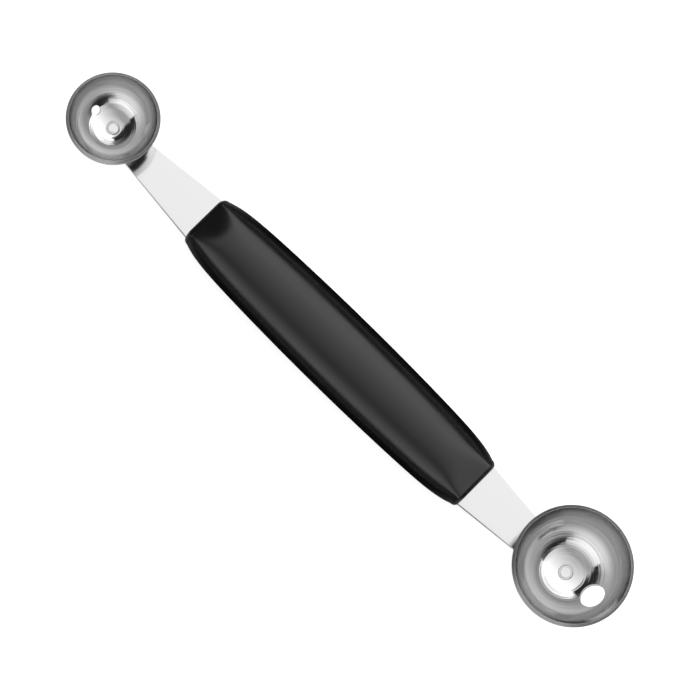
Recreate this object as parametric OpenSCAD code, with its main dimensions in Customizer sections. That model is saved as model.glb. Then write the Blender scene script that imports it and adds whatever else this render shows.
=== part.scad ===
/* [Handle] */
// Length of the moulded handle
handle_l = 95.4; // [80:0.2:120]
// Width across the middle
handle_w = 20.6; // [18:0.1:26]
// Width that the slow curve of the sides would have at the ends
handle_shoulder_w = 17.9; // [16.5:0.1:20]
// Width at each end, where the curve of the sides is fastest
handle_end_w = 15.2; // [14.4:0.1:16]
// Thickness through the middle, before the land is cut
handle_t = 13; // [11:0.1:18]
// Thickness that the slow curve of the back would have at the ends
handle_shoulder_t = 12.2; // [10:0.1:16]
// Thickness at each end, where the sloping flats meet the end face
ramp_end_t = 6.6; // [5:0.1:9]
// Rounding of the corners of the handle, seen from above
handle_corner_r = 1.6; // [1:0.1:2.5]
// Rounding of the edges above and below each end face
handle_edge_r = 0.9; // [0.5:0.1:1.5]
// Depth of the flat land that is cut along the underside, on which the tool rests
land_depth = 0.25; // [0.15:0.05:0.4]

/* [Tang] */
// Thickness of the steel strap
tang_t = 1.6; // [1:0.1:2.5]
// Width of the strap where it runs parallel inside the handle
tang_w = 13; // [10:0.1:14]
// Diameter of the holes through which the handle material keys into the strap
key_hole_d = 6; // [3:0.5:8]
// Distance between those holes along the strap
key_hole_pitch = 24; // [14:1:30]

/* [Small bowl] */
// Diameter inside the small bowl
small_bore_d = 22; // [18:0.5:25]
// Distance from the handle to the middle of the small bowl
small_reach = 32.3; // [28:0.1:40]
// Width of the strap under the middle of the small bowl
small_tip_w = 6.2; // [5.6:0.1:8]
// Diameter of the small bowl's vent hole
small_vent_d = 2.5; // [1.5:0.1:3.5]
// Diameter of the spot weld's mark in the small bowl
small_weld_d = 2.6; // [2:0.1:3.4]

/* [Large bowl] */
// Diameter inside the large bowl
large_bore_d = 28.6; // [26:0.2:32]
// Distance from the handle to the middle of the large bowl
large_reach = 30.8; // [28:0.1:40]
// Width of the strap under the middle of the large bowl
large_tip_w = 7; // [6.4:0.1:8]
// Diameter of the large bowl's vent hole
large_vent_d = 6.5; // [5:0.1:7]
// Diameter of the spot weld's mark in the large bowl
large_weld_d = 3.4; // [2.4:0.1:4.2]

/* [Both bowls] */
// Thickness of the steel that the bowls are pressed from
bowl_wall = 0.8; // [0.6:0.05:1.2]
// Width of the edge that is left on the rim inside the ground bevel
edge_w = 0.1; // [0.05:0.05:0.5]
// Height of the bevel ground round the outside of the rim
bevel_h = 0.65; // [0.3:0.05:1.2]
// Depth of the round seat pressed into the strap under each bowl
seat_depth = 0.3; // [0.2:0.02:0.36]
// Depth of the mark that the welding electrodes leave in the steel
weld_mark_depth = 0.1; // [0.05:0.01:0.15]

/* [Hidden] */

$fn = 96;

// Angle up from the bottom of the bowl to the middle of its vent hole, in degrees
small_vent_angle = 32;
large_vent_angle = 38;

// Slope of the flats at the ends of the handle, in degrees, and how sharply they cut the crown
ramp_angle = 20;
ramp_blend = 12;

// How full the crown of the handle's section is (1 is an ellipse) and how late its sides turn in
crown_power = 1.24;
end_power = 11;
section_points = 60;
body_stations = 36;
edge_stations = 4;

key_holes = 3;

// How much larger the arc at the strap's tips is than one that would just touch the sides
tip_round = 1.1;

// How far a cutter runs past what it cuts
overrun = 1;

small_r = small_bore_d / 2 + bowl_wall;
large_r = large_bore_d / 2 + bowl_wall;

// The middle of the overall length is at x = 0, and the land is at z = 0
small_side_l = handle_l / 2 + small_reach + small_r;
large_side_l = handle_l / 2 + large_reach + large_r;
handle_x = (small_side_l - large_side_l) / 2;
small_x = handle_x - handle_l / 2 - small_reach;
large_x = handle_x + handle_l / 2 + large_reach;
handle_z = handle_t / 2 - land_depth;
tang_top_z = handle_z + tang_t / 2;
small_z = tang_top_z - seat_depth + small_r;
large_z = tang_top_z - seat_depth + large_r;

// Half a size at share u of the way from the handle's middle to its end
function half_size(middle, shoulder, end, u) =
    (middle - (middle - shoulder) * pow(u, 2) - (shoulder - end) * pow(u, end_power)) / 2;

// How far a quarter circle of radius r draws a side in at distance d from the end
function drawn_in(r, d) = d < r ? r - sqrt(r * r - pow(r - d, 2)) : 0;

// Stations from one end of the handle to the other
body_half_l = handle_l / 2 - handle_corner_r;
edge_x = [
    for (i = [0 : edge_stations - 1])
        handle_l / 2 - handle_corner_r * (1 - cos(90 * i / edge_stations))
];
stations = [
    for (x = edge_x) -x,
    for (i = [0 : body_stations]) -body_half_l * cos(180 * i / body_stations),
    for (i = [edge_stations - 1 : -1 : 0]) edge_x[i]
];

// One ring of the handle: a crown above and below the strap, cut by the sloping flats
function ring(x) =
    let (
        d = handle_l / 2 - abs(x),
        u = min(abs(x) / body_half_l, 1),
        half_w = half_size(handle_w, handle_shoulder_w, handle_end_w, u) - drawn_in(handle_corner_r, d),
        half_t = (handle_t - (handle_t - handle_shoulder_t) * pow(u, 2)) / 2 - drawn_in(handle_edge_r, d),
        flat_z = ramp_end_t / 2 + d * tan(ramp_angle) - drawn_in(handle_edge_r, d)
    )
    [
        for (i = [0 : section_points - 1])
            let (
                a = 360 * (i + 0.5) / section_points,
                crown = half_t * pow(abs(sin(a)), crown_power),
                z = crown / pow(1 + pow(crown / flat_z, ramp_blend), 1 / ramp_blend)
            )
            [x, half_w * cos(a), sign(sin(a)) * z]
    ];

// A skin over the rings, closed by a flat face at each end
module loft(rings) {
    n = len(rings[0]);
    last = len(rings) - 1;
    polyhedron(
        points = [for (r = rings) for (p = r) p],
        faces = [
            [for (i = [0 : n - 1]) i],
            for (k = [0 : last - 1])
                for (i = [0 : n - 1])
                    let (j = (i + 1) % n)
                    each [
                        [k * n + i, (k + 1) * n + i, (k + 1) * n + j],
                        [k * n + i, (k + 1) * n + j, k * n + j]
                    ],
            [for (i = [n - 1 : -1 : 0]) last * n + i]
        ]
    );
}

// Half the strap's width at distance d from the handle, on the way to a bowl
function side_y(d, reach, tip_w) = (tang_w - (tang_w - tip_w) * d / reach) / 2;

// Outline of the strap: parallel inside the handle, tapered towards both bowls and cut round
// at the tips. The sides run on past the tips, so that they cross the arcs.
module strap_outline() {
    small_end = handle_x - handle_l / 2;
    large_end = handle_x + handle_l / 2;
    small_past = small_reach + small_tip_w;
    large_past = large_reach + large_tip_w;
    small_y = side_y(small_past, small_reach, small_tip_w);
    large_y = side_y(large_past, large_reach, large_tip_w);
    intersection() {
        polygon([
            [small_end - small_past, -small_y],
            [small_end, -tang_w / 2],
            [large_end, -tang_w / 2],
            [large_end + large_past, -large_y],
            [large_end + large_past, large_y],
            [large_end, tang_w / 2],
            [small_end, tang_w / 2],
            [small_end - small_past, small_y]
        ]);
        union() {
            translate([small_x, 0])
                circle(d = tip_round * small_tip_w);
            translate([small_x, -tang_w])
                square([large_x - small_x, 2 * tang_w]);
            translate([large_x, 0])
                circle(d = tip_round * large_tip_w);
        }
    }
}

// Seat for a bowl on top of the strap, and the electrode's mark under it
module seat_cut(x, z, r, weld_d) {
    translate([x, 0, z])
        sphere(r = r);
    translate([x, 0, tang_top_z - tang_t - overrun])
        cylinder(d = weld_d, h = overrun + weld_mark_depth);
}

module tang() {
    color("gainsboro")
        difference() {
            translate([0, 0, tang_top_z - tang_t])
                linear_extrude(tang_t)
                    strap_outline();
            for (i = [0 : key_holes - 1])
                translate([
                    handle_x + (i - (key_holes - 1) / 2) * key_hole_pitch,
                    0,
                    tang_top_z - tang_t - overrun
                ])
                    cylinder(d = key_hole_d, h = tang_t + 2 * overrun);
            seat_cut(small_x, small_z, small_r, small_weld_d);
            seat_cut(large_x, large_z, large_r, large_weld_d);
        }
}

module handle() {
    color("#1c1c1e")
        difference() {
            translate([handle_x, 0, handle_z])
                loft([for (x = stations) ring(x)]);
            translate([handle_x - handle_l, -handle_w, -handle_t])
                cube([2 * handle_l, 2 * handle_w, handle_t]);
            tang();
        }
}

// A bowl with the middle of its rim at the origin. Its vent faces +X.
module bowl(bore_d, vent_d, vent_angle, weld_d) {
    r = bore_d / 2 + bowl_wall;
    color("silver")
        difference() {
            sphere(r = r);
            sphere(d = bore_d);
            cylinder(r = r + overrun, h = r + overrun);
            rotate_extrude()
                polygon([
                    [bore_d / 2 + edge_w, 0],
                    [r + overrun, 0],
                    [r + overrun, -bevel_h * (1 + overrun / (bowl_wall - edge_w))]
                ]);
            rotate([0, -vent_angle, 0])
                translate([0, 0, -r - overrun])
                    cylinder(d = vent_d, h = r + overrun);
            translate([0, 0, -bore_d / 2 - weld_mark_depth])
                cylinder(d = weld_d, h = bore_d / 4);
        }
}

module small_cup() {
    translate([small_x, 0, small_z])
        mirror([1, 0, 0])
            bowl(small_bore_d, small_vent_d, small_vent_angle, small_weld_d);
}

module large_cup() {
    translate([large_x, 0, large_z])
        bowl(large_bore_d, large_vent_d, large_vent_angle, large_weld_d);
}

handle();
tang();
small_cup();
large_cup();
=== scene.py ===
import bpy
import bmesh
import math
from mathutils import Matrix, Vector


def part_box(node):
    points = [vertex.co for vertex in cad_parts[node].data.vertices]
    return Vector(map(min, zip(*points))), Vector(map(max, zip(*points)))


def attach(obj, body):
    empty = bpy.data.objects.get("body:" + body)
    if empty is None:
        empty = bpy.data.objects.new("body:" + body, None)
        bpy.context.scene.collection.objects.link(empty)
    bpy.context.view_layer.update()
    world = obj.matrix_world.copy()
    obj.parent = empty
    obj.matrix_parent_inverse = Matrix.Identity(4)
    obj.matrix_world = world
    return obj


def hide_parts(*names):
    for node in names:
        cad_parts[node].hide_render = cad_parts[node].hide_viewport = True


mm = 0.001

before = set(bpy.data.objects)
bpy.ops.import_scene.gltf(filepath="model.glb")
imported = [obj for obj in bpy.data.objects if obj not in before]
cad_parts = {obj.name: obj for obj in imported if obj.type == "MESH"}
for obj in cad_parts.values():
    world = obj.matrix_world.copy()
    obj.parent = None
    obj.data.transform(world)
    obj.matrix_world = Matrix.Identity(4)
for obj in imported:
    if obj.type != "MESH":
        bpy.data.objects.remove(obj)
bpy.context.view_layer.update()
print("frame loaded:", ", ".join(sorted(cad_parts)))


# small helpers

noiseLow, noiseHigh = 0.3, 0.7      # nearly all values of a noise texture lie between these
sharpEdge = 35                      # degrees, above which an edge is shaded sharp


def hexColour(code):
    # sRGB hex to the linear colour that the shaders want
    channels = [int(code[i:i + 2], 16) / 255 for i in (1, 3, 5)]
    return [c / 12.92 if c <= 0.04045 else ((c + 0.055) / 1.055) ** 2.4 for c in channels] + [1.0]


def addNode(tree, kind, settings=None, links=None):
    # settings are socket or node values, links are socket name -> output socket
    node = tree.nodes.new(kind)
    for name, value in (settings or {}).items():
        if isinstance(name, int) or name in node.inputs:
            node.inputs[name].default_value = value
        else:
            setattr(node, name, value)
    for name, output in (links or {}).items():
        tree.links.new(output, node.inputs[name])
    return node


def newMaterial(name):
    material = bpy.data.materials.new(name)
    material.use_nodes = True
    tree = material.node_tree
    tree.nodes.clear()
    output = tree.nodes.new("ShaderNodeOutputMaterial")
    return material, tree, output


def spreadNoise(tree, noise, limits):
    # stretches a noise pattern over the given limits, for patches that are duller or shinier
    return addNode(tree, "ShaderNodeMapRange", {
        "From Min": noiseLow, "From Max": noiseHigh, "To Min": limits[0], "To Max": limits[1],
    }, {"Value": noise.outputs["Fac"]}).outputs["Result"]


def shadeSmooth(mesh, sharpAngle):
    mesh.shade_smooth()
    mesh.set_sharp_from_angle(angle=math.radians(sharpAngle))


def meshPiece(name, bm, material, sharpAngle=sharpEdge):
    # finished pieces keep their object at the origin, with their place in the mesh
    mesh = bpy.data.meshes.new(name)
    bm.to_mesh(mesh)
    bm.free()
    stale = mesh.attributes.get("custom_normal")     # normals that came with the CAD facets
    if stale:
        mesh.attributes.remove(stale)
    shadeSmooth(mesh, sharpAngle)
    mesh.materials.append(material)
    piece = bpy.data.objects.new(name, mesh)
    bpy.context.scene.collection.objects.link(piece)
    return piece


def spinProfile(points, steps, mergeDistance):
    # turns a profile in the XZ plane into a skin round the Z axis
    bm = bmesh.new()
    verts = [bm.verts.new(p) for p in points]
    edges = [bm.edges.new(pair) for pair in zip(verts, verts[1:])]
    bmesh.ops.spin(
        bm, geom=verts + edges, cent=(0, 0, 0), axis=(0, 0, 1), angle=2 * math.pi,
        steps=steps, use_merge=True,
    )
    bmesh.ops.remove_doubles(bm, verts=bm.verts, dist=mergeDistance)
    return bm


# camera, as far away and as high as the photograph's perspective says
camera = {
    "target": Vector((0.6, 2.26, 6.25)) * mm,
    "distance": 950 * mm,
    "leanAcross": 10.5,     # degrees towards -Y
    "leanAlong": 4.0,       # degrees towards +X
    "roll": 44.45,          # degrees, so that the tool lies along the picture's diagonal
    "lens": 195.8,
    "sensor": 36,
    "clipStart": 10 * mm,
}


def placeCamera(s):
    back = Vector((
        math.tan(math.radians(s["leanAlong"])),
        -math.tan(math.radians(s["leanAcross"])),
        1,
    )).normalized()
    along = Vector((1, 0, 0))
    along = (along - along.dot(back) * back).normalized()
    across = back.cross(along)
    a = math.radians(s["roll"])
    right = math.cos(a) * along + math.sin(a) * across
    up = back.cross(right)
    data = bpy.data.cameras.new("camera")
    data.lens = s["lens"]
    data.sensor_width = s["sensor"]
    data.clip_start = s["clipStart"]
    data.dof.use_dof = False
    cam = bpy.data.objects.new("camera", data)
    bpy.context.scene.collection.objects.link(cam)
    cam.matrix_world = Matrix.Translation(s["target"] + s["distance"] * back) @ Matrix(
        (right, up, back)
    ).transposed().to_4x4()
    bpy.context.scene.camera = cam


placeCamera(camera)
print("camera placed")


# handle: injection moulded polypropylene, so black with a fine satin skin
handlePlastic = {
    "colour": "#0c0c0d",
    "roughness": (0.22, 0.28),
    "ior": 1.49,
    "specular": 0.5,
    "patch": 9,             # mm across the patches that hands have rubbed shinier or duller
    "grain": 0.35,          # mm, drawn a little coarser than the real 0.1 mm so that it shows
    "grainHeight": 0.012,   # mm
    "grainStrength": 0.35,
}


def makeHandlePlastic(s):
    material, tree, output = newMaterial("satin_polypropylene")
    place = addNode(tree, "ShaderNodeTexCoord").outputs["Object"]
    grain = addNode(tree, "ShaderNodeTexNoise", {
        "Scale": 1 / (s["grain"] * mm), "Detail": 3, "Roughness": 0.6,
    }, {"Vector": place})
    patches = addNode(tree, "ShaderNodeTexNoise", {
        "Scale": 1 / (s["patch"] * mm), "Detail": 2,
    }, {"Vector": place})
    bump = addNode(tree, "ShaderNodeBump", {
        "Strength": s["grainStrength"], "Distance": s["grainHeight"] * mm,
    }, {"Height": grain.outputs["Fac"]})
    shader = addNode(tree, "ShaderNodeBsdfPrincipled", {
        "Base Color": hexColour(s["colour"]), "IOR": s["ior"],
        "Specular IOR Level": s["specular"],
    }, {
        "Roughness": spreadNoise(tree, patches, s["roughness"]),
        "Normal": bump.outputs["Normal"],
    })
    tree.links.new(shader.outputs["BSDF"], output.inputs["Surface"])
    return material


# handle grip, lofted over the box of the moulded handle; sizes in mm, the slope in degrees
grip = {
    "shoulderWidth": 17.9, "endWidth": 15.2, "endPower": 11,    # how late the sides turn in
    "thickness": 13.0, "shoulderThickness": 12.2,
    "crownPower": 1.24,     # 1 would be an ellipse
    "rampEnd": 6.6, "rampSlope": 20, "rampBlend": 12,           # the sloping flats at the ends
    "cornerRadius": 1.6, "edgeRadius": 0.9,
    "ringPoints": 128, "bodyRings": 96, "cornerRings": 8,
}


def buildGrip(s, material):
    low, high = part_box("handle")
    middle = (low.x + high.x) / 2
    halfLength = (high.x - low.x) / 2
    width = high.y - low.y
    corner, edge = s["cornerRadius"] * mm, s["edgeRadius"] * mm
    midZ = high.z - s["thickness"] * mm / 2

    def halfWidth(share):
        full, shoulder, end = width, s["shoulderWidth"] * mm, s["endWidth"] * mm
        return (full - (full - shoulder) * share ** 2 - (shoulder - end) * share ** s["endPower"]) / 2

    def halfThickness(share):
        full, shoulder = s["thickness"] * mm, s["shoulderThickness"] * mm
        return (full - (full - shoulder) * share ** 2) / 2

    # how far a quarter circle draws the side in, close to the end
    def drawnIn(radius, d):
        return radius - math.sqrt(radius ** 2 - (radius - d) ** 2) if d < radius else 0

    def ringAt(x):
        d = halfLength - abs(x)
        share = min(abs(x) / (halfLength - corner), 1)
        rampZ = s["rampEnd"] * mm / 2 + d * math.tan(math.radians(s["rampSlope"]))
        return (
            x, halfWidth(share) - drawnIn(corner, d),
            halfThickness(share) - drawnIn(edge, d), rampZ - drawnIn(edge, d),
        )

    cornerX = [
        halfLength - corner * (1 - math.cos(math.pi / 2 * i / s["cornerRings"]))
        for i in range(s["cornerRings"])
    ]
    bodyX = [
        -(halfLength - corner) * math.cos(math.pi * i / s["bodyRings"]) for i in range(s["bodyRings"] + 1)
    ]
    rings = [ringAt(x) for x in [-x for x in cornerX] + bodyX + cornerX[::-1]]

    # the lower crown is cut off by the land that the tool rests on
    def toSection(verts, ring):
        x, w, t, r = ring
        for k, v in enumerate(verts):
            a = 2 * math.pi * (k + 0.5) / len(verts)
            crown = t * abs(math.sin(a)) ** s["crownPower"]
            z = crown / (1 + (crown / r) ** s["rampBlend"]) ** (1 / s["rampBlend"])
            v.co = Vector((middle + x, w * math.cos(a), max(midZ + math.copysign(z, math.sin(a)), low.z)))

    bm = bmesh.new()
    verts = bmesh.ops.create_circle(bm, segments=s["ringPoints"], radius=1)["verts"]
    toSection(verts, rings[0])
    bmesh.ops.contextual_create(bm, geom=list(bm.edges))
    edges = list(bm.edges)
    for ring in rings[1:]:
        made = bmesh.ops.extrude_edge_only(bm, edges=edges)["geom"]
        edges = [g for g in made if isinstance(g, bmesh.types.BMEdge)]
        newVerts = [g for g in made if isinstance(g, bmesh.types.BMVert)]
        toSection(newVerts, ring)
    bmesh.ops.contextual_create(bm, geom=edges)
    bmesh.ops.recalc_face_normals(bm, faces=bm.faces)
    return meshPiece("handle_grip", bm, material)


# strap steel: cold rolled stainless strip with a fine satin finish
strapSteel = {
    "colour": "#cfcfcf",
    "roughness": (0.09, 0.11),
    "linePitch": 0.7,       # mm between the polishing lines, coarser than real ones
    "lineStretch": 25,      # how much longer than wide the lines are
    "lineHeight": 0.0006,   # mm
    "lineStrength": 0.4,
}


def makeStrapSteel(s):
    material, tree, output = newMaterial("satin_strip_steel")
    place = addNode(tree, "ShaderNodeTexCoord").outputs["Object"]
    stretched = addNode(tree, "ShaderNodeMapping", {
        "Scale": (1 / s["lineStretch"], 1, 1),
    }, {"Vector": place})
    lines = addNode(tree, "ShaderNodeTexNoise", {
        "Scale": 1 / (s["linePitch"] * mm), "Detail": 2,
    }, {"Vector": stretched.outputs["Vector"]})
    bump = addNode(tree, "ShaderNodeBump", {
        "Strength": s["lineStrength"], "Distance": s["lineHeight"] * mm,
    }, {"Height": lines.outputs["Fac"]})
    shader = addNode(tree, "ShaderNodeBsdfPrincipled", {
        "Base Color": hexColour(s["colour"]), "Metallic": 1.0,
    }, {
        "Roughness": spreadNoise(tree, lines, s["roughness"]),
        "Normal": bump.outputs["Normal"],
    })
    tree.links.new(shader.outputs["BSDF"], output.inputs["Surface"])
    return material


# strap: the CAD blank's own mesh, with its sheared edges broken; sizes in mm, angles in degrees
strap = {
    "edgeBreak": 0.08, "edgeSegments": 2,
    "mergeDistance": 0.001, "flatAngle": 1,     # facets that lie this flat become one face
    "cornerAngle": 60,      # an edge sharper than this is one that the shears left
    "sharpAngle": 8,
}


def buildStrap(s, material):
    bm = bmesh.new()
    bm.from_mesh(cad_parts["tang"].data)
    bmesh.ops.remove_doubles(bm, verts=bm.verts, dist=s["mergeDistance"] * mm)
    bmesh.ops.dissolve_limit(
        bm, angle_limit=math.radians(s["flatAngle"]), verts=bm.verts, edges=bm.edges,
        use_dissolve_boundaries=False,
    )
    corners = [
        e for e in bm.edges
        if len(e.link_faces) == 2 and e.calc_face_angle() > math.radians(s["cornerAngle"])
    ]
    bmesh.ops.bevel(
        bm, geom=corners, offset=s["edgeBreak"] * mm, offset_type="OFFSET", segments=s["edgeSegments"],
        profile=0.5, affect="EDGES", material=-1, clamp_overlap=True,
    )
    return meshPiece("steel_strap", bm, material, s["sharpAngle"])


# bowls: turned profile spun round the bowl's axis, then the vent is punched; sizes in mm
bowl = {
    "wall": 0.8, "edgeWidth": 0.03, "bevelHeight": 0.75,            # the ground rim
    "grooveWidth": 0.8, "grooveDepth": 0.14, "grooveSteps": 16,     # the ring round the weld's mark
    "steps": 192, "arcSteps": 72, "ventSteps": 72,
    "mergeDistance": 0.0005,
}
smallBowl = {"node": "small_cup", "vent": 2.5, "ventAngle": 32, "mark": 2.8, "faces": -1}
largeBowl = {"node": "large_cup", "vent": 6.5, "ventAngle": 38, "mark": 3.2, "faces": 1}

# bowl steel: stainless sheet, pressed and then polished on a spindle, so bright with fine rings
bowlSteel = {
    "colour": "#cccccc",
    "roughness": (0.05, 0.1),
    "steepRoughness": 0.18,     # added at the rim, as the mop leaves the steep wall duller
    "steepAngle": 0.6,          # radians below the rim, over which that fades out
    "groundRoughness": 0.15,    # added on the ground edge of the rim
    "markRoughness": 0.12,      # added inside the weld's mark, which the mop doesn't reach
    "ringPitch": 0.5,           # mm between the rings that the polishing leaves
    "ringHeight": 0.02,         # mm
    "wavePitch": 2.4,           # mm between the slower waves that it leaves
    "waveHeight": 0.045,        # mm
    "margin": 0.01,             # mm, by which the ground edge's mask is larger than the edge
}


def bowlFrame(node):
    # the middle of the rim, and the outer radius
    low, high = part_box(node)
    return Vector(((low.x + high.x) / 2, 0, high.z)), (high.x - low.x) / 2


def makeBowlSteel(s, common, shape, name):
    # rings run round the bowl's own axis, so the pattern follows the angle up from its bottom
    centre, radius = bowlFrame(shape["node"])
    material, tree, output = newMaterial(name)
    place = addNode(tree, "ShaderNodeTexCoord").outputs["Object"]
    centred = addNode(tree, "ShaderNodeVectorMath", {"operation": "SUBTRACT", 1: centre}, {0: place})
    parts = addNode(tree, "ShaderNodeSeparateXYZ", None, {"Vector": centred.outputs["Vector"]})
    flat = addNode(tree, "ShaderNodeCombineXYZ", None, {"X": parts.outputs["X"], "Y": parts.outputs["Y"]})
    out = addNode(tree, "ShaderNodeVectorMath", {"operation": "LENGTH"}, {0: flat.outputs["Vector"]})
    angle = addNode(tree, "ShaderNodeMath", {"operation": "ARCTAN2"}, {
        0: out.outputs["Value"], 1: parts.outputs["Z"],
    })
    rings = addNode(tree, "ShaderNodeTexNoise", {
        "noise_dimensions": "1D", "Scale": radius / (s["ringPitch"] * mm), "Detail": 3, "Roughness": 0.55,
    }, {"W": angle.outputs["Value"]})
    waves = addNode(tree, "ShaderNodeTexNoise", {
        "noise_dimensions": "1D", "Scale": radius / (s["wavePitch"] * mm), "Detail": 1,
    }, {"W": angle.outputs["Value"]})
    broad = addNode(tree, "ShaderNodeBump", {"Strength": 1, "Distance": s["waveHeight"] * mm}, {
        "Height": waves.outputs["Fac"],
    })
    bump = addNode(tree, "ShaderNodeBump", {"Strength": 1, "Distance": s["ringHeight"] * mm}, {
        "Height": rings.outputs["Fac"], "Normal": broad.outputs["Normal"],
    })
    # the angle is half a turn at the bottom and a quarter turn at the rim
    steep = addNode(tree, "ShaderNodeMapRange", {
        "From Min": math.pi / 2 + s["steepAngle"], "From Max": math.pi / 2,
        "To Min": 0.0, "To Max": s["steepRoughness"],
    }, {"Value": angle.outputs["Value"]})
    polish = addNode(tree, "ShaderNodeMath", {"operation": "ADD"}, {
        0: spreadNoise(tree, rings, s["roughness"]), 1: steep.outputs["Result"],
    })
    # the ground edge lies outside the inner wall and above the foot of the bevel
    reach = addNode(tree, "ShaderNodeVectorMath", {"operation": "LENGTH"}, {0: centred.outputs["Vector"]})
    outside = addNode(tree, "ShaderNodeMath", {
        "operation": "GREATER_THAN", 1: radius - (common["wall"] - s["margin"]) * mm,
    }, {0: reach.outputs["Value"]})
    high = addNode(tree, "ShaderNodeMath", {
        "operation": "GREATER_THAN", 1: -(common["bevelHeight"] + s["margin"]) * mm,
    }, {0: parts.outputs["Z"]})
    ground = addNode(tree, "ShaderNodeMath", {"operation": "MULTIPLY"}, {
        0: outside.outputs["Value"], 1: high.outputs["Value"],
    })
    dull = addNode(tree, "ShaderNodeMath", {"operation": "MULTIPLY_ADD", 1: s["groundRoughness"]}, {
        0: ground.outputs["Value"], 2: polish.outputs["Value"],
    })
    inMark = addNode(tree, "ShaderNodeMath", {"operation": "LESS_THAN", 1: shape["mark"] * mm / 2}, {
        0: out.outputs["Value"],
    })
    spotted = addNode(tree, "ShaderNodeMath", {"operation": "MULTIPLY_ADD", 1: s["markRoughness"]}, {
        0: inMark.outputs["Value"], 2: dull.outputs["Value"],
    })
    shader = addNode(tree, "ShaderNodeBsdfPrincipled", {
        "Base Color": hexColour(s["colour"]), "Metallic": 1.0,
    }, {"Roughness": spotted.outputs["Value"], "Normal": bump.outputs["Normal"]})
    tree.links.new(shader.outputs["BSDF"], output.inputs["Surface"])
    return material


def bowlProfile(common, mark, outer):
    # from the middle of the weld's mark up the inner wall, over the rim and down the outer wall
    inner = outer - common["wall"] * mm
    markR = mark * mm / 2
    grooveWidth = common["grooveWidth"] * mm
    bevelStart = math.asin(common["bevelHeight"] * mm / outer)
    profile = [Vector((0, 0, -inner))]
    for i in range(common["grooveSteps"]):
        share = i / common["grooveSteps"]
        r = markR + grooveWidth * (share - 0.5)
        depth = common["grooveDepth"] * mm * (1 - math.cos(2 * math.pi * share)) / 2
        profile.append(Vector((r, 0, -math.sqrt(inner ** 2 - r ** 2) - depth)))
    firstAngle = math.asin((markR + grooveWidth / 2) / inner)
    for i in range(common["arcSteps"] + 1):
        a = firstAngle + (math.pi / 2 - firstAngle) * i / common["arcSteps"]
        profile.append(Vector((inner * math.sin(a), 0, -inner * math.cos(a))))
    profile.append(Vector((inner + common["edgeWidth"] * mm, 0, 0)))
    for i in range(common["arcSteps"] + 1):
        a = (math.pi / 2 - bevelStart) * (1 - i / common["arcSteps"])
        profile.append(Vector((outer * math.sin(a), 0, -outer * math.cos(a))))
    return profile


def punchVent(piece, common, s, centre, outer):
    bm = bmesh.new()
    bmesh.ops.create_cone(
        bm, cap_ends=True, segments=common["ventSteps"],
        radius1=s["vent"] * mm / 2, radius2=s["vent"] * mm / 2, depth=outer,
    )
    bmesh.ops.translate(bm, verts=bm.verts, vec=(0, 0, -outer))
    bmesh.ops.rotate(
        bm, verts=bm.verts, cent=(0, 0, 0),
        matrix=Matrix.Rotation(-s["faces"] * math.radians(s["ventAngle"]), 3, "Y"),
    )
    bmesh.ops.translate(bm, verts=bm.verts, vec=centre)
    punch = meshPiece("punch", bm, piece.data.materials[0])
    cut = piece.modifiers.new("vent", "BOOLEAN")
    cut.operation = "DIFFERENCE"
    cut.solver = "EXACT"
    cut.object = punch
    graph = bpy.context.evaluated_depsgraph_get()
    mesh = bpy.data.meshes.new_from_object(piece.evaluated_get(graph))
    piece.modifiers.clear()
    piece.data = mesh
    shadeSmooth(mesh, sharpEdge)
    bpy.data.objects.remove(punch)


def buildBowl(common, s, material, name):
    centre, outer = bowlFrame(s["node"])
    bm = spinProfile(bowlProfile(common, s["mark"], outer), common["steps"], common["mergeDistance"] * mm)
    bmesh.ops.recalc_face_normals(bm, faces=bm.faces)
    bmesh.ops.translate(bm, verts=bm.verts, vec=centre)
    piece = meshPiece(name, bm, material)
    punchVent(piece, common, s, centre, outer)
    return piece


smallSteel = makeBowlSteel(bowlSteel, bowl, smallBowl, "turned_steel_small")
largeSteel = makeBowlSteel(bowlSteel, bowl, largeBowl, "turned_steel_large")
pieces = {
    "handle": buildGrip(grip, makeHandlePlastic(handlePlastic)),
    "tang": buildStrap(strap, makeStrapSteel(strapSteel)),
    "small_cup": buildBowl(bowl, smallBowl, smallSteel, "small_bowl"),
    "large_cup": buildBowl(bowl, largeBowl, largeSteel, "large_bowl"),
}
for node, piece in pieces.items():
    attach(piece, "root")
    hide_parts(node)
print("pieces built:", ", ".join(p.name for p in pieces.values()))


# sweep: a pale floor that curves up into a low wall, white to the camera and to the metal;
# sizes in metres
sweep = {
    "radius": 3.2,
    "bend": 0.1,
    "wall": 0.13,
    "colour": "#e6e6e6",
    "lift": 0.7,            # light added for the rays that see it directly or mirrored
    "steps": 96,
    "bendSteps": 12,
    "mergeDistance": 0.00001,
}


def makeSweepMaterial(s):
    material, tree, output = newMaterial("pale_sweep")
    rays = addNode(tree, "ShaderNodeLightPath")
    seen = addNode(tree, "ShaderNodeMath", {"operation": "ADD", "use_clamp": True}, {
        0: rays.outputs["Is Camera Ray"], 1: rays.outputs["Is Glossy Ray"],
    })
    seenToo = addNode(tree, "ShaderNodeMath", {"operation": "ADD", "use_clamp": True}, {
        0: seen.outputs["Value"], 1: rays.outputs["Is Transmission Ray"],
    })
    lift = addNode(tree, "ShaderNodeMath", {"operation": "MULTIPLY", 1: s["lift"]}, {
        0: seenToo.outputs["Value"],
    })
    paint = addNode(tree, "ShaderNodeBsdfDiffuse", {"Color": hexColour(s["colour"])})
    glow = addNode(tree, "ShaderNodeEmission", {"Color": (1, 1, 1, 1)}, {"Strength": lift.outputs["Value"]})
    both = addNode(tree, "ShaderNodeAddShader", None, {0: paint.outputs["BSDF"], 1: glow.outputs["Emission"]})
    tree.links.new(both.outputs["Shader"], output.inputs["Surface"])
    return material


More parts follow.
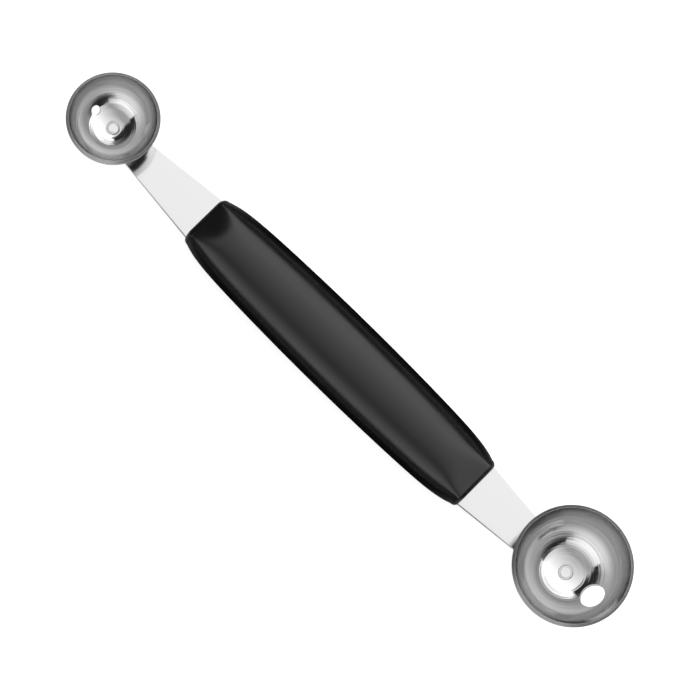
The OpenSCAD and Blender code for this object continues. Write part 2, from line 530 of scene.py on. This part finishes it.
def buildSweep(s):
    floorEnd = s["radius"] - s["bend"]
    profile = [Vector((0, 0, 0)), Vector((floorEnd, 0, 0))]
    for i in range(1, s["bendSteps"] + 1):
        a = math.pi / 2 * i / s["bendSteps"]
        profile.append(Vector((floorEnd + s["bend"] * math.sin(a), 0, s["bend"] * (1 - math.cos(a)))))
    profile.append(Vector((s["radius"], 0, s["wall"])))
    bm = spinProfile(profile, s["steps"], s["mergeDistance"])
    floor = meshPiece("sweep", bm, makeSweepMaterial(s))


buildSweep(sweep)


# flag: black card under the tool that only its reflections see, as in the photograph's dark edges,
# thinned out below each bowl so that the outside of the steel still shows the pale floor
flag = {
    "size": (1.3, 1.1),     # metres
    "height": 0.02,         # mm, as are the places below
    "colour": "#0a0a0a",
    "clearAt": 105, "clearRadius": 30, "blackRadius": 75, "clearCover": 0.45,
}


def makeFlagMaterial(s):
    material, tree, output = newMaterial("black_card")
    place = addNode(tree, "ShaderNodeTexCoord").outputs["Object"]
    bothSides = addNode(tree, "ShaderNodeVectorMath", {"operation": "ABSOLUTE"}, {0: place})
    fromClear = addNode(tree, "ShaderNodeVectorMath", {
        "operation": "DISTANCE", 1: (s["clearAt"] * mm, 0, s["height"] * mm),
    }, {0: bothSides.outputs["Vector"]})
    cover = addNode(tree, "ShaderNodeMapRange", {
        "interpolation_type": "SMOOTHSTEP",
        "From Min": s["clearRadius"] * mm, "From Max": s["blackRadius"] * mm, "To Min": s["clearCover"],
    }, {"Value": fromClear.outputs["Value"]})
    clear = addNode(tree, "ShaderNodeBsdfTransparent")
    card = addNode(tree, "ShaderNodeBsdfDiffuse", {"Color": hexColour(s["colour"])})
    mixed = addNode(tree, "ShaderNodeMixShader", None, {
        0: cover.outputs["Result"], 1: clear.outputs["BSDF"], 2: card.outputs["BSDF"],
    })
    tree.links.new(mixed.outputs["Shader"], output.inputs["Surface"])
    return material


def buildFlag(s):
    bm = bmesh.new()
    bmesh.ops.create_grid(bm, x_segments=1, y_segments=1, size=0.5)
    bmesh.ops.scale(bm, verts=bm.verts, vec=(*s["size"], 1))
    bmesh.ops.translate(bm, verts=bm.verts, vec=(0, 0, s["height"] * mm))
    card = meshPiece("flag", bm, makeFlagMaterial(s))
    card.visible_camera = False
    card.visible_diffuse = False
    card.visible_shadow = False


buildFlag(flag)


# lights: long soft boxes along the tool, brighter away from the camera, with a dim gap on the -Y side;
# places and sizes in metres, a positive tilt in degrees leans a box towards +Y
lights = {
    "highBox": {"place": (0.32, 1.373, 0.88), "tilt": 0, "size": (2.44, 1.413), "radiance": 1.95},
    "fadingBox": {
        "place": (0.25, 0.137, 0.88), "tilt": 0, "size": (1.7, 1.059), "radiance": 1.95,
        "shares": (0.32, 1),
    },
    "gapBox": {"place": (0.25, -0.487, 0.843), "tilt": -30, "size": (1.7, 0.205), "radiance": 0.5},
    "sideBox": {
        "place": (0.25, -0.851, 0.643), "tilt": -53, "size": (1.7, 0.653), "radiance": 2.3,
        "shares": (1, 0.25),
    },
}
room = {"colour": "#ffffff", "strength": 0.03}


def addSoftBox(name, s):
    data = bpy.data.lights.new(name, "AREA")
    data.shape = "RECTANGLE"
    data.size, data.size_y = s["size"]
    data.energy = s["radiance"] * math.pi * data.size * data.size_y     # watts for that radiance
    if "shares" in s:      # the light changes across the box, from its -Y edge to its +Y edge
        data.use_nodes = True
        tree = data.node_tree
        place = addNode(tree, "ShaderNodeNewGeometry").outputs["Parametric"]
        across = addNode(tree, "ShaderNodeSeparateXYZ", None, {"Vector": place})
        low, high = s["shares"]
        fade = addNode(tree, "ShaderNodeMapRange", {"To Min": low, "To Max": high}, {
            "Value": across.outputs["Y"],
        })
        tree.links.new(fade.outputs["Result"], tree.nodes["Emission"].inputs["Strength"])
    lamp = bpy.data.objects.new(name, data)
    bpy.context.scene.collection.objects.link(lamp)
    lamp.location = s["place"]
    lamp.rotation_euler = (-math.radians(s["tilt"]), 0, 0)


def setRoom(s):
    world = bpy.data.worlds.new("room")
    bpy.context.scene.world = world
    world.use_nodes = True
    background = world.node_tree.nodes["Background"]
    background.inputs["Color"].default_value = hexColour(s["colour"])
    background.inputs["Strength"].default_value = s["strength"]


for name, settings in lights.items():
    addSoftBox(name, settings)
setRoom(room)
bpy.context.scene.view_settings.view_transform = "Standard"
print("stage and lights placed")
